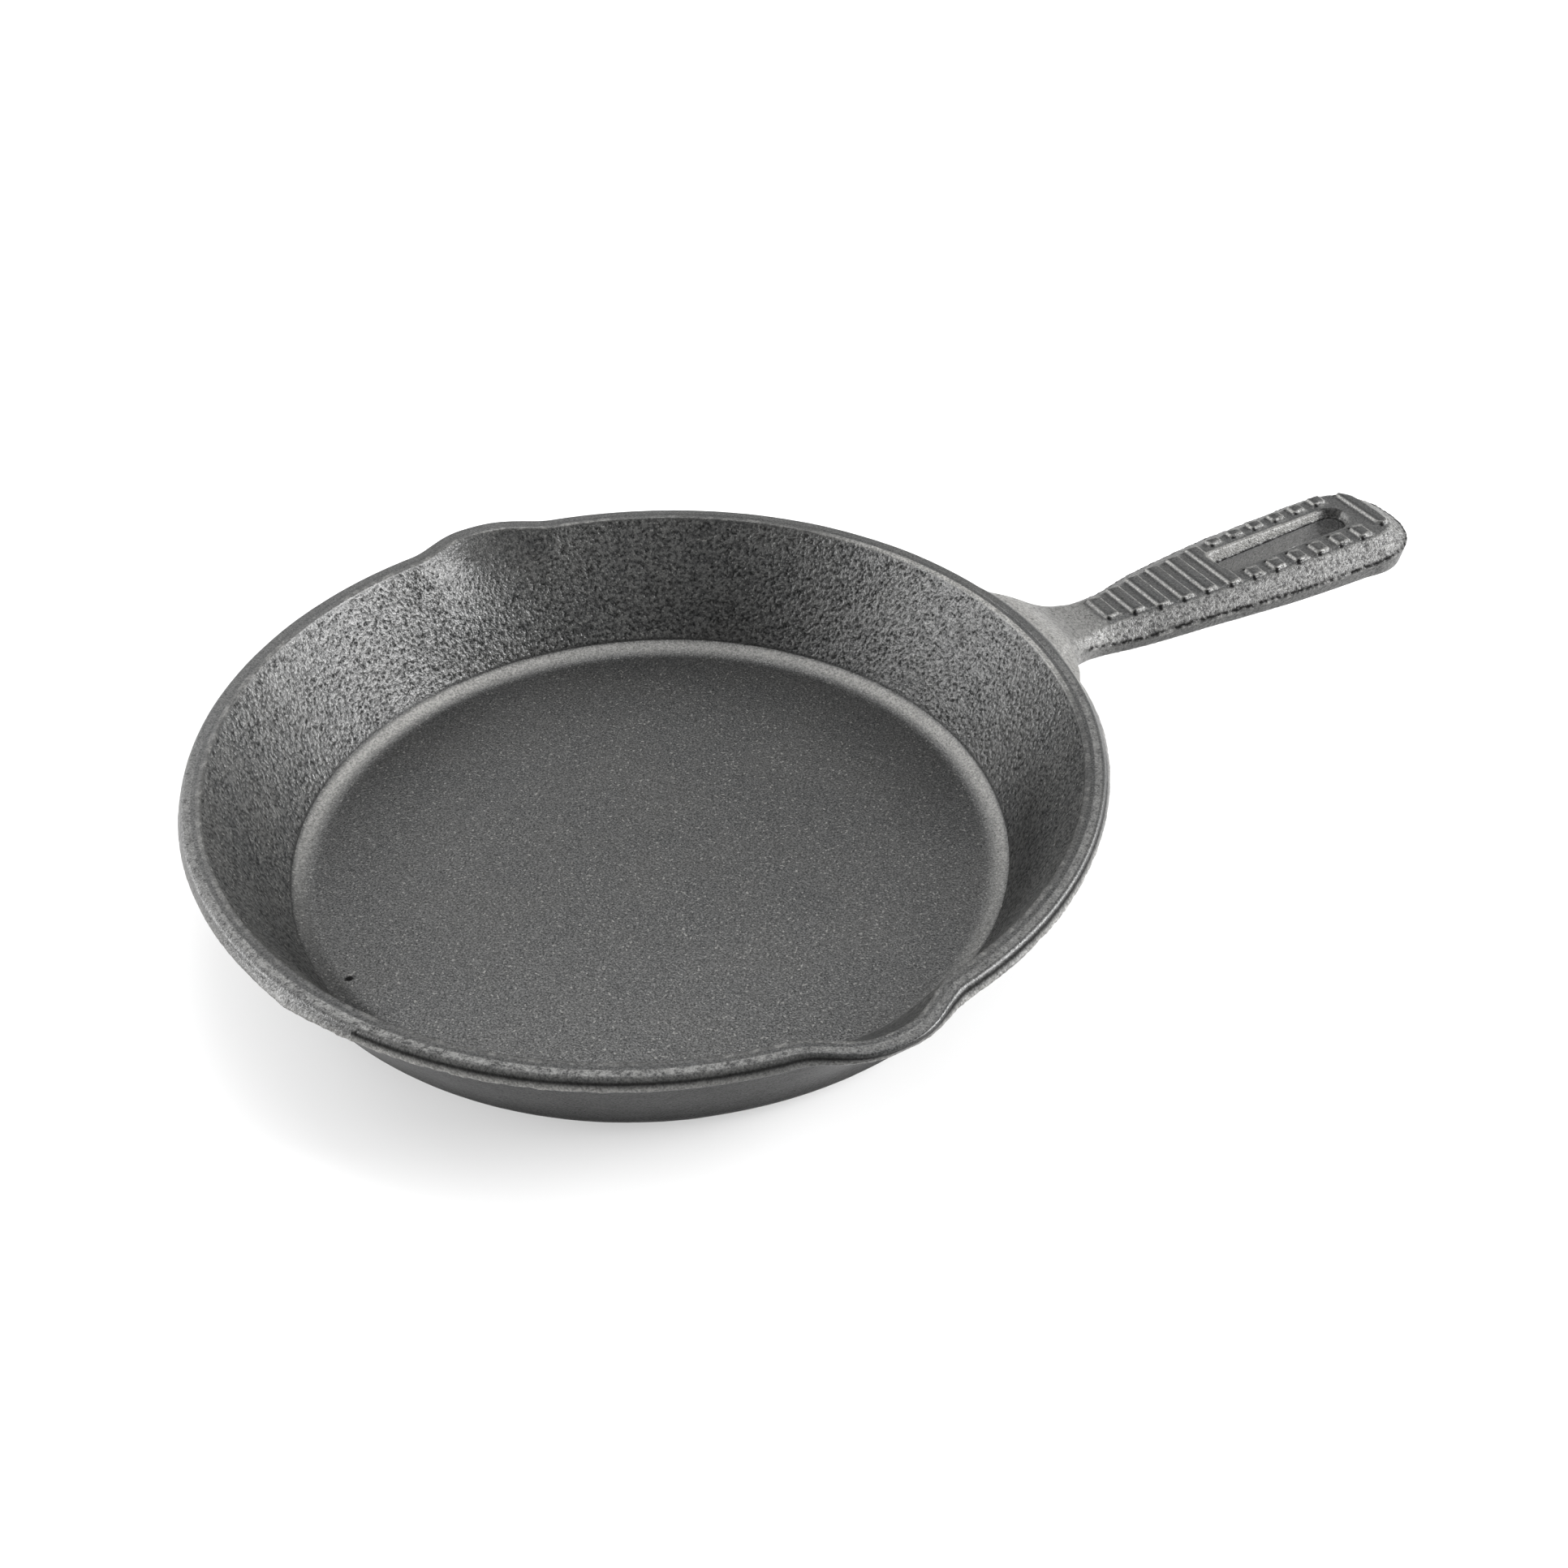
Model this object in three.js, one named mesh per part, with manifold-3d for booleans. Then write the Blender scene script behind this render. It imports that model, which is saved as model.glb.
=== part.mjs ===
// Cast iron skillet: one grey-iron casting with a flat cooking floor, a flared
// side wall with a flat rim and two pouring lips, and a ribbed handle with a
// long hanging slot.  Millimetres, +Z up.  The origin is the centre of the
// base's flat underside, the handle points along +X and the lips lie near +-Y.
//
// The real object is a single piece of iron.  It is described here as three
// adjoining solids of that one casting: the floor disc, the side wall with the
// rim, lips and handle root, and the handle.  Their meeting faces coincide.

import * as THREE from 'three';
import { mergeVertices } from 'three/addons/utils/BufferGeometryUtils.js';
import Module from 'manifold-3d';

// ---------------------------------------------------------------- dimensions
const HEIGHT = 33.0;             // rim above the surface the pan stands on
const RIM_R = 100.0;             // outer edge of the rim's top face
const RIM_INNER_R = 96.0;        // inner edge of the rim's top face
const LIP_R = 101.0;             // mould parting edge on the rim's outer face
const LIP_DROP = 2.8;            // parting edge below the rim's top
const FLOOR_Z = 4.0;             // cooking surface, also the floor's thickness
const FLOOR_DISC_R = 72.0;       // radius where the floor disc meets the wall piece
const FLOOR_FLAT_R = 74.6;       // flat of the cooking surface
const FOOT_R = 81.0;             // foot of the inner wall, top of the floor's fillet
const FOOT_Z = 5.6;
const BASE_FLAT_R = 74.6;        // flat of the underside
const BASE_CORNER_R = 13.5;      // outer corner between base and wall
const WALL_LEAN = 28.2;          // outer wall, degrees from vertical

const SPOUT_OUT = 5.6;           // how far a pouring lip stands out of the rim circle
const SPOUT_HALF = 11.0;         // half of its width, degrees round the rim
const SPOUT_LEFT = 88.3;         // degrees from the handle to the lip on +Y
const SPOUT_RIGHT = 89.4;        // and to the one on -Y
const SPOUT_DIP = 0.6;           // how far its edge dips
const SPOUT_DEPTH = 22.0;        // how far its channel runs down the wall

const CUT_X = 106.0;             // plane where the handle piece starts
const TIP_X = 212.8;             // end of the handle
const RIB_START = 121.95;        // face of the first grip rib
const RIB_PITCH = 6.68;
const RIB_WIDTH = 3.7;
const RIB_HEIGHT = 0.65;
const RIB_COUNT = 13;            // the 7th to 12th are cut in two by the slot
const SLOT_X0 = 158.2;           // hanging slot, at the top face
const SLOT_X1 = 200.5;
const SLOT_HALF = 4.7;
const SLOT_WAIST_HALF = 3.9;     // half-width at the slot's parting line
const SLOT_END_DRAFT = 1.6;
const SLOT_WAIST_DROP = 3.05;    // waist below the rib tops
const SLOT_END_R = 3.4;          // radius of the slot's corners

const SEGMENTS = 96;             // round the pan

const deg = Math.PI / 180;

// ------------------------------------------------------------------ helpers
// Piecewise straight table lookup.
function table(rows) {
  return (x) => {
    if (x <= rows[0][0]) return rows[0][1];
    for (let i = 1; i < rows.length; i++) {
      if (x <= rows[i][0]) {
        const [x0, v0] = rows[i - 1], [x1, v1] = rows[i];
        return v0 + (v1 - v0) * (x - x0) / (x1 - x0);
      }
    }
    return rows[rows.length - 1][1];
  };
}
const smooth = (t) => { t = Math.min(1, Math.max(0, t)); return t * t * (3 - 2 * t); };

// Handle stations.  Heights are measured down from the rim.
const groove = table([   // floor of the grooves between the ribs, on the centre line
  [94, -4.2], [96, -0.9], [98, -0.25], [101, -0.2], [103, -0.6], [106, -2.0], [108, -3.15],
  [110, -4.15], [112, -4.9], [114, -5.3], [117, -5.6], [120, -5.6], [160, -3.82], [190, -2.49], [212, -1.5]]);
const parting = table([  // height of the widest edge
  [94, -6.0], [101, -3.2], [104, -4.6], [106, -5.67], [108, -6.3], [110, -7.0], [114, -7.95], [118, -9.0],
  [120, -9.3], [125, -9.5], [130, -9.4], [135, -8.9], [140, -8.4], [150, -8.1], [160, -7.9], [170, -7.7],
  [180, -7.5], [190, -7.2], [197, -6.85], [204, -6.0], [213, -4.8]]);
const under = table([    // underside
  [94, -9.0], [101, -7.2], [104, -7.9], [106, -8.6], [110, -10.8], [115, -12.1], [120, -12.5], [130, -12.35],
  [140, -11.85], [150, -11.6], [160, -11.9], [170, -11.9], [180, -11.6], [190, -11.35], [200, -11.1], [206, -10.5],
  [213, -8.5]]);
const halfWidth = table([ // at the parting edge
  [94, 26], [98, 24.2], [100, 22.4], [101, 20.9], [102, 19.3], [104, 16.6], [106, 14.7], [108, 13.05],
  [110, 11.7], [114, 10.1], [118, 9.75], [120, 9.8], [125, 10.4], [130, 11.1], [140, 12.7],
  [150, 14.1], [160, 15.1], [170, 15.9], [180, 16.25], [190, 16.5], [196, 16.6]]);
const topHalf = table([  // where the sloping shoulder starts
  [94, 20], [101, 16.0], [104, 12.9], [106, 10.7], [110, 8.5], [114, 6.9], [120, 5.9], [130, 6.6],
  [140, 8.35], [150, 9.4], [160, 10.4], [170, 11.0], [180, 11.4], [190, 11.75], [197, 11.8]]);
const ribHalf = table([  // half-length of a rib
  [120, 4.0], [123.9, 4.25], [130.5, 5.65], [137.2, 6.95], [143.9, 7.6], [150.6, 8.1], [157, 8.95], [164, 9.45],
  [170.5, 9.85], [177.3, 10.05], [184, 10.1], [190.6, 10.15], [197.3, 10.5], [204.9, 8.5]]);

// Round end of the handle: a blunt oval.
const TIP_START = 196.0, TIP_POWER = 2.45;
function tipFactor(x, end, power = TIP_POWER) {
  if (x <= TIP_START) return 1;
  const u = Math.min(1, (x - TIP_START) / (end - TIP_START));
  return Math.pow(Math.max(0, 1 - Math.pow(u, power)), 1 / power);
}

// ------------------------------------------------------------------- solids
const wasm = await Module();
wasm.setup();
const { Manifold, Mesh } = wasm;

function toSolid(geometry) {
  const g = geometry.clone();
  for (const name of Object.keys(g.attributes)) if (name !== 'position') g.deleteAttribute(name);
  const m = mergeVertices(g, 1e-4);
  const pos = m.attributes.position.array, idx = m.index.array;
  const tris = [];
  for (let i = 0; i < idx.length; i += 3) {
    const [a, b, c] = [idx[i], idx[i + 1], idx[i + 2]];
    if (a !== b && b !== c && c !== a) tris.push(a, b, c);
  }
  return new Manifold(new Mesh({ numProp: 3, vertProperties: new Float32Array(pos), triVerts: new Uint32Array(tris) }));
}
function toGeometry(solid) {
  const m = solid.getMesh();
  const g = new THREE.BufferGeometry();
  const n = m.vertProperties.length / m.numProp;
  const p = new Float32Array(n * 3);
  for (let i = 0; i < n; i++) for (let k = 0; k < 3; k++) p[i * 3 + k] = m.vertProperties[i * m.numProp + k];
  g.setAttribute('position', new THREE.BufferAttribute(p, 3));
  g.setIndex(new THREE.BufferAttribute(new Uint32Array(m.triVerts), 1));
  g.computeVertexNormals();
  return g;
}
// A box given by its two corners.
function block(x0, x1, y0, y1, z0, z1) {
  const g = new THREE.BoxGeometry(x1 - x0, y1 - y0, z1 - z0);
  g.translate((x0 + x1) / 2, (y0 + y1) / 2, (z0 + z1) / 2);
  return toSolid(g);
}
// Lathe of a closed or axis-to-axis profile of [radius, height] pairs, turned so
// that it stands on +Z with its first seam on +X.
function lathe(profile) {
  const g = new THREE.LatheGeometry(profile.map(([r, z]) => new THREE.Vector2(r, z)), SEGMENTS);
  g.rotateX(Math.PI / 2);
  return g;
}
// Triangles that fill a flat outline of [u, v] points, wound anticlockwise.
function fill(outline) {
  const pts = outline.map(([u, v]) => new THREE.Vector2(u, v));
  return THREE.ShapeUtils.triangulateShape(pts, []).map(([a, b, c]) => {
    const area = (pts[b].x - pts[a].x) * (pts[c].y - pts[a].y) - (pts[c].x - pts[a].x) * (pts[b].y - pts[a].y);
    return area > 0 ? [a, b, c] : [a, c, b];
  });
}
// A closed loft through rings of equally many points, each anticlockwise when
// seen from the loft's far end.  uv gives the two coordinates of a ring's plane.
function loft(rings, uv) {
  const n = rings[0].length, last = (rings.length - 1) * n, idx = [];
  for (let i = 0; i + 1 < rings.length; i++) {
    for (let j = 0; j < n; j++) {
      const a = i * n + j, b = i * n + (j + 1) % n;
      idx.push(a, b, b + n, a, b + n, a + n);
    }
  }
  for (const [a, b, c] of fill(rings[0].map(uv))) idx.push(a, c, b);
  for (const [a, b, c] of fill(rings[rings.length - 1].map(uv))) idx.push(last + a, last + b, last + c);
  const g = new THREE.BufferGeometry();
  g.setAttribute('position', new THREE.BufferAttribute(new Float32Array(rings.flat(2)), 3));
  g.setIndex(idx);
  return g;
}

// --------------------------------------------------------------- side wall
const lean = WALL_LEAN * deg;
const wallProfile = [];
wallProfile.push([FLOOR_DISC_R, 0], [BASE_FLAT_R, 0]);
for (let i = 1; i <= 6; i++) {
  const a = (90 * deg - lean) * i / 6;
  wallProfile.push([BASE_FLAT_R + BASE_CORNER_R * Math.sin(a), BASE_CORNER_R * (1 - Math.cos(a))]);
}
{
  const [r0, z0] = wallProfile[wallProfile.length - 1];
  const zTop = HEIGHT - 4.9;
  const at = (z) => r0 + (z - z0) * Math.tan(lean);
  for (const f of [0.35, 0.7, 1]) { const z = z0 + (zTop - z0) * f; wallProfile.push([at(z), z]); }
  wallProfile.push([LIP_R - 0.9, HEIGHT - LIP_DROP - 0.9]);
}
wallProfile.push([LIP_R, HEIGHT - LIP_DROP], [RIM_R + 0.15, HEIGHT - 0.55], [RIM_R - 0.45, HEIGHT],
  [RIM_INNER_R + 0.45, HEIGHT], [RIM_INNER_R, HEIGHT - 0.45]);
{
  const z1 = HEIGHT - 0.45;
  for (const f of [0.22, 0.48, 0.75, 1]) {
    wallProfile.push([RIM_INNER_R + (FOOT_R - RIM_INNER_R) * f, z1 + (FOOT_Z - z1) * f]);
  }
  // fillet from the wall's foot down to the cooking surface
  for (const u of [0.33, 0.67, 1]) {
    const r = FOOT_R + (FLOOR_FLAT_R - FOOT_R) * u;
    wallProfile.push([r, FLOOR_Z + (FOOT_Z - FLOOR_Z) * (1 - u) * (1 - u)]);
  }
  wallProfile.push([FLOOR_DISC_R, FLOOR_Z], [FLOOR_DISC_R, 0]);
}
const wallGeometry = lathe(wallProfile);
{ // push the two pouring lips out of the wall
  const p = wallGeometry.attributes.position;
  for (let i = 0; i < p.count; i++) {
    const x = p.getX(i), y = p.getY(i), z = p.getZ(i), r = Math.hypot(x, y);
    const off = Math.abs(Math.abs(Math.atan2(y, x)) / deg - (y > 0 ? SPOUT_LEFT : SPOUT_RIGHT));
    if (off >= SPOUT_HALF || r < FOOT_R - 0.01) continue;
    const bell = Math.pow(Math.cos(Math.pow(off / SPOUT_HALF, 1.25) * Math.PI / 2), 2);
    const down = Math.pow(Math.max(0, (z - (HEIGHT - SPOUT_DEPTH)) / SPOUT_DEPTH), 2.3);
    const k = (r + SPOUT_OUT * bell * down) / r;
    p.setXYZ(i, x * k, y * k, z - SPOUT_DIP * bell * smooth((z - (HEIGHT - 6)) / 6));
  }
}
const wallSolid = toSolid(wallGeometry);

// ------------------------------------------------------------------ handle
const stations = [94, 96, 98, 100, 101, 102, 103, 104, 106, 108, 110, 112, 114, 117, 120, 125, 130, 140, 150, 160, 170,
  180, 190, 196, 200, 203, 206, 208.3, 210.2, 211.5, 212.4];
const rings = stations.map((x) => {
  const k = tipFactor(x, TIP_X);
  const zp = HEIGHT + parting(x);
  const w = halfWidth(x) * k;
  const t = topHalf(x) * Math.min(1, k * 1.05);
  const flat = Math.pow(k, 0.35);
  const zg = zp + (HEIGHT + groove(x) - zp) * flat;
  const zb = zp + (HEIGHT + under(x) - zp) * flat;
  const b = w - Math.min(1.5, w * 0.1);
  const c = Math.max(b - 2.2, b * 0.6);
  // one side, from the top's centre round to the underside's centre
  const side = [[t * 0.5, zg], [t, zg - 0.1], [t + (w - t) * 0.55, zg + (zp - zg) * 0.5], [w, zp],
    [b, zb + Math.min(1.6, (zp - zb) * 0.4)], [c, zb]];
  const right = side.map(([y, z]) => [x, -y, z]);
  const left = side.map(([y, z]) => [x, y, z]);
  return [[x, 0, zg], ...right, [x, 0, zb], ...left.reverse()];
});
let handleSolid = toSolid(loft(rings, ([, y, z]) => [y, z]));

// grip ribs, each a low bar across the top
for (let i = 0; i < RIB_COUNT; i++) {
  const last = i === RIB_COUNT - 1;      // the last one stands a little apart
  const x0 = RIB_START + RIB_PITCH * i + (last ? 1.1 : 0), x1 = x0 + (last ? 3.4 : RIB_WIDTH);
  const xm = (x0 + x1) / 2, half = ribHalf(xm), top = HEIGHT + groove(xm) + RIB_HEIGHT;
  const g = new THREE.BoxGeometry(x1 - x0, half * 2, RIB_HEIGHT + 1.0);
  g.translate(xm, 0, top - (RIB_HEIGHT + 1.0) / 2);
  const p = g.attributes.position;
  for (let j = 0; j < p.count; j++) { // the bar's top follows the handle's rise and is a little narrower
    if (p.getZ(j) > top - 0.5) {
      p.setZ(j, HEIGHT + groove(p.getX(j)) + RIB_HEIGHT);
      p.setX(j, xm + (p.getX(j) - xm) * 0.86);
      p.setY(j, p.getY(j) * (half - 0.5) / half);
    }
  }
  handleSolid = handleSolid.add(toSolid(g));
}

// hanging slot: an upper and a lower tapered prism that meet at the waist
function slotRing(z, half, x0, x1) {
  const r = Math.min(SLOT_END_R, half - 0.01), ring = [];
  const corners = [[x1 - r, half - r, 0], [x0 + r, half - r, 90], [x0 + r, -(half - r), 180], [x1 - r, -(half - r), 270]];
  for (const [cx, cy, a0] of corners) {
    for (let i = 0; i <= 4; i++) {
      const a = (a0 + 90 * i / 4) * deg;
      ring.push([cx + r * Math.cos(a), cy + r * Math.sin(a), z]);
    }
  }
  return ring;
}
const prism = (lower, upper) => toSolid(loft([lower, upper], ([x, y]) => [x, y]));
{
  const zTop = HEIGHT + 3, zBottom = HEIGHT - 15;
  const xm = (SLOT_X0 + SLOT_X1) / 2;
  const zWaist = HEIGHT + groove(xm) + RIB_HEIGHT - SLOT_WAIST_DROP;
  const up = (zTop - zWaist) * (SLOT_HALF - SLOT_WAIST_HALF) / SLOT_WAIST_DROP;
  const down = (zWaist - zBottom) * 0.09;
  const waist = slotRing(zWaist, SLOT_WAIST_HALF, SLOT_X0 + SLOT_END_DRAFT, SLOT_X1 - SLOT_END_DRAFT);
  const grow = (z, d) => slotRing(z, SLOT_WAIST_HALF + d, SLOT_X0 + SLOT_END_DRAFT - d, SLOT_X1 - SLOT_END_DRAFT + d);
  handleSolid = handleSolid.subtract(prism(waist, grow(zTop, up)));
  handleSolid = handleSolid.subtract(prism(grow(zBottom, down), waist));
}

// The casting, cut on the plane x = CUT_X into the wall piece and the handle piece.
const whole = wallSolid.add(handleSolid);
const beyond = block(CUT_X, 260, -60, 60, -20, 60);
const wallPiece = whole.subtract(beyond);
const handlePiece = whole.intersect(beyond);

// -------------------------------------------------------------- floor disc
const floorGeometry = lathe([[0, 0], [FLOOR_DISC_R, 0], [FLOOR_DISC_R, FLOOR_Z], [0, FLOOR_Z]]);

// ------------------------------------------------------------------- scene
const iron = (hex, roughness) => new THREE.MeshStandardMaterial({ color: hex, roughness, metalness: 0.65 });
const skillet = new THREE.Group();
function piece(name, geometry, material) {
  const mesh = new THREE.Mesh(geometry, material);
  mesh.name = name;
  skillet.add(mesh);
  return mesh;
}
piece('cooking_floor', floorGeometry, iron(0x555756, 0.62));
piece('side_wall', toGeometry(wallPiece), iron(0x4a4c4b, 0.55));
piece('handle', toGeometry(handlePiece), iron(0x565857, 0.55));

export default skillet;
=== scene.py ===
"""Cast iron skillet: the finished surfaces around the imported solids.

The real pan is one grey-iron casting.  Its three CAD nodes (floor disc, side
wall, handle) are replaced one for one by finely modelled pieces with the same
cuts, so that they still meet face to face.  Lengths in the code are in
millimetres until a mesh is made, and heights of the handle are given from the
rim's top face.
"""
import math

import bpy
import numpy as np
from mathutils import Matrix, Vector


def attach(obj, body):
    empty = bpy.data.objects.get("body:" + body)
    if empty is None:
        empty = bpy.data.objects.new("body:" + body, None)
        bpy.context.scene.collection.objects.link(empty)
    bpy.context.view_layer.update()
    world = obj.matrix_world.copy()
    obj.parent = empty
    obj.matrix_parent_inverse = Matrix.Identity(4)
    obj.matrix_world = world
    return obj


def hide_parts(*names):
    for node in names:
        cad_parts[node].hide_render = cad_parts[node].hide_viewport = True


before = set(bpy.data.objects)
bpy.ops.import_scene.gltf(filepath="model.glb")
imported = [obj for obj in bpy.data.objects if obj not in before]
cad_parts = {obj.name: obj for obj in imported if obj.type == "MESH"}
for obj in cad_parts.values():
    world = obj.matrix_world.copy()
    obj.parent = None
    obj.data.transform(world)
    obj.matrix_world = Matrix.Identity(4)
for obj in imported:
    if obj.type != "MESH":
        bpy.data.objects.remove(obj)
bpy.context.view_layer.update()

# ------------------------------------------------------------------ dimensions
HEIGHT = 33.0            # rim above the standing surface
RIM_R = 100.0            # outer edge of the rim's top face
RIM_INNER_R = 96.0
LIP_R = 101.0            # mould parting edge round the rim
LIP_DROP = 2.8
FLOOR_Z = 4.0
DISC_R = 72.0            # where the floor disc meets the wall piece
FLAT_R = 74.6            # flat of the cooking surface and of the underside
PIT = (-75.3, -6.5)                         # a small pit in the cooking floor
FOOT_R, FOOT_Z = 81.0, 5.6
CORNER_R = 13.5          # base corner
LEAN = math.radians(28.2)
SPOUT_OUT, SPOUT_HALF, SPOUT_DIP, SPOUT_DEPTH = 5.6, 11.0, 0.6, 22.0
SPOUT_LEFT, SPOUT_RIGHT = 88.3, 89.4     # degrees from the handle to each pouring lip
CUT_X = 106.0
TIP_X = 212.8
RIB_START, RIB_PITCH, RIB_WIDTH, RIB_HEIGHT, RIB_COUNT = 121.95, 6.68, 3.7, 0.65, 13
SLOT_X0, SLOT_X1 = 158.2, 200.6

COLUMNS = 2048      # mesh columns round the pan
NET = 0.30          # cell of the handle's mesh


def table(rows):
    a = np.array(rows, float)
    return lambda x: np.interp(x, a[:, 0], a[:, 1])


def smooth_table(rows, step=0.5, width=1.6):
    """The same table with its corners eased over about width millimetres."""
    a = np.array(rows, float)
    xs = np.arange(a[0, 0] - 12, a[-1, 0] + 12, step)
    v = np.interp(xs, a[:, 0], a[:, 1])
    lo, hi = xs < a[0, 0], xs > a[-1, 0]
    s0 = (a[1, 1] - a[0, 1]) / (a[1, 0] - a[0, 0])
    s1 = (a[-1, 1] - a[-2, 1]) / (a[-1, 0] - a[-2, 0])
    v[lo] = a[0, 1] + s0 * (xs[lo] - a[0, 0])
    v[hi] = a[-1, 1] + s1 * (xs[hi] - a[-1, 0])
    n = int(3 * width / step)
    k = np.exp(-0.5 * (np.arange(-n, n + 1) * step / width) ** 2)
    k /= k.sum()
    sm = np.convolve(np.pad(v, n, mode="edge"), k, mode="valid")
    return lambda x: np.interp(x, xs, sm)


groove = smooth_table([   # floor of the grooves between the ribs, on the centre line
    [94, -4.2], [96, -1.6], [98, -0.75], [101, -0.45], [103, -0.75], [106, -2.0], [108, -3.15], [110, -4.15],
    [112, -4.9], [114, -5.3], [117, -5.6], [120, -5.6], [160, -3.82], [190, -2.49], [212, -1.5]], width=0.9)
parting = smooth_table([  # widest edge
    [94, -2.9], [99, -2.9], [101, -3.2], [104, -4.6], [106, -5.67], [108, -6.3], [110, -7.0], [114, -7.95],
    [118, -9.0], [120, -9.3], [125, -9.5], [130, -9.4], [135, -8.9], [140, -8.4], [150, -8.1], [160, -7.9],
    [170, -7.7], [180, -7.5], [190, -7.2], [197, -6.85], [204, -6.0], [213, -4.8]])
under = smooth_table([    # underside
    [94, -6.2], [101, -7.2], [104, -7.9], [106, -8.6], [110, -10.8], [115, -12.1], [120, -12.5], [130, -12.35],
    [140, -11.85], [150, -11.35], [160, -11.3], [170, -11.3], [180, -11.35], [190, -11.35], [200, -11.2],
    [206, -11.0], [213, -10.6]])
half_width = smooth_table([  # at the parting edge
    [94, 28.5], [97, 25.2], [99, 23.2], [100, 22.2], [101, 20.9], [102, 19.3], [104, 16.6], [106, 14.85], [108, 13.25],
    [110, 11.8], [114, 10.1], [118, 9.65], [120, 9.8], [125, 10.55], [130, 11.35], [140, 12.85],
    [150, 14.1], [160, 15.1], [170, 15.9], [180, 16.25], [190, 16.5], [198, 16.6]], width=1.1)
shoulder = smooth_table([  # width of the sloping shoulder
    [94, 6.0], [101, 4.9], [104, 3.7], [106, 4.05], [110, 3.26], [114, 3.27], [120, 4.3], [130, 5.2], [140, 5.1],
    [150, 5.4], [160, 5.6], [170, 5.9], [180, 5.9], [190, 5.8], [212, 5.4]])
rib_half = table([  # half-length of a rib
    [120, 3.9], [123.9, 4.1], [130.5, 5.5], [137.2, 6.8], [143.9, 7.45], [150.6, 7.95], [157, 8.8], [164, 9.3],
    [170.5, 9.7], [177.3, 9.9], [184, 9.95], [190.6, 10.0], [197.3, 10.4], [204.9, 8.4]])
far_trim = smooth_table([  # how much narrower the side away from the lips' ground edge is
    [94, 0], [101, 0.1], [104, 0.35], [107, 0.45], [110, 0.15], [113, -0.1], [116, -0.3], [119, -0.25], [122, 0.0],
    [127, 0.45], [131, 0.75], [135, 0.45], [141, 0.25], [150, 0.15], [165, 0.0], [214, 0.0]], width=1.0)
TIP_START, TIP_POWER = 196.0, 2.45


def smoothstep(t):
    t = np.clip(t, 0, 1)
    return t * t * (3 - 2 * t)


def smin(a, b, k):
    h = np.maximum(k - np.abs(a - b), 0) / k
    return np.minimum(a, b) - h * h * k * 0.25


def smax(a, b, k):
    return -smin(-a, -b, k)


# ----------------------------------------------------------------------- noise
def noise(p, scale, seed):
    """Smooth gradient noise of points p, with features about scale millimetres across; roughly -1 to 1."""
    q = p / scale + seed * 17.31
    i = np.floor(q).astype(np.int64)
    f = (q - i).astype(np.float32)
    w = f * f * f * (f * (f * 6 - 15) + 10)
    out = np.zeros(len(p), np.float32)
    for cx in (0, 1):
        wx = w[:, 0] if cx else 1 - w[:, 0]
        for cy in (0, 1):
            wy = w[:, 1] if cy else 1 - w[:, 1]
            for cz in (0, 1):
                wz = w[:, 2] if cz else 1 - w[:, 2]
                h = ((i[:, 0] + cx) * 73856093) ^ ((i[:, 1] + cy) * 19349663) ^ ((i[:, 2] + cz) * 83492791) ^ (seed * 40503)
                h = (h ^ (h >> 13)) & 0xFFFFFFFF
                h = (h * 0x5BD1E995) & 0xFFFFFFFF
                h = (h ^ (h >> 15)) & 0xFFFFFFFF
                h = (h * 0x27D4EB2D) & 0xFFFFFFFF
                h ^= h >> 16
                g0 = (h & 1023) / 511.5 - 1
                g1 = ((h >> 10) & 1023) / 511.5 - 1
                g2 = ((h >> 20) & 1023) / 511.5 - 1
                d = g0 * (f[:, 0] - cx) + g1 * (f[:, 1] - cy) + g2 * (f[:, 2] - cz)
                out += (wx * wy * wz * d).astype(np.float32)
    return out * 1.6


# ---------------------------------------------------------------- pan's profile
def rounded(points):
    """A polyline of (r, z, corner radius, spacing of the stretch that follows) with its corners rounded."""
    p = [np.array(q[:2], float) for q in points]
    out = []
    ends = []
    for i in range(len(p)):
        r = points[i][2]
        if r == 0 or i in (0, len(p) - 1):
            ends.append((p[i], p[i], None))
            continue
        a, b = p[i - 1] - p[i], p[i + 1] - p[i]
        la, lb = np.linalg.norm(a), np.linalg.norm(b)
        a, b = a / la, b / lb
        half = math.acos(np.clip(a @ b, -1, 1)) / 2
        t = r / math.tan(half)
        t = min(t, 0.49 * la if i > 1 else la, 0.49 * lb if i < len(p) - 2 else lb)
        r = t * math.tan(half)
        c = p[i] + (a + b) / np.linalg.norm(a + b) * r / math.sin(half)
        ends.append((p[i] + a * t, p[i] + b * t, (c, r)))
    for i in range(len(p)):
        start, stop, arc = ends[i]
        step = points[i][3]
        if arc is None:
            out.append(start)
        else:
            c, r = arc
            a0 = math.atan2(*(start - c)[::-1])
            a1 = math.atan2(*(stop - c)[::-1])
            d = (a1 - a0 + math.pi) % (2 * math.pi) - math.pi
            n = max(3, int(math.ceil(abs(d) * r / min(step, max(0.12, r * 0.2)))))
            for k in range(n + 1):
                a = a0 + d * k / n
                out.append(c + r * np.array([math.cos(a), math.sin(a)]))
        if i < len(p) - 1:
            nxt = ends[i + 1][0]
            length = np.linalg.norm(nxt - out[-1])
            n = max(1, int(round(length / step)))
            here = out[-1]
            for k in range(1, n):
                out.append(here + (nxt - here) * k / n)
    return np.array(out)


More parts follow.
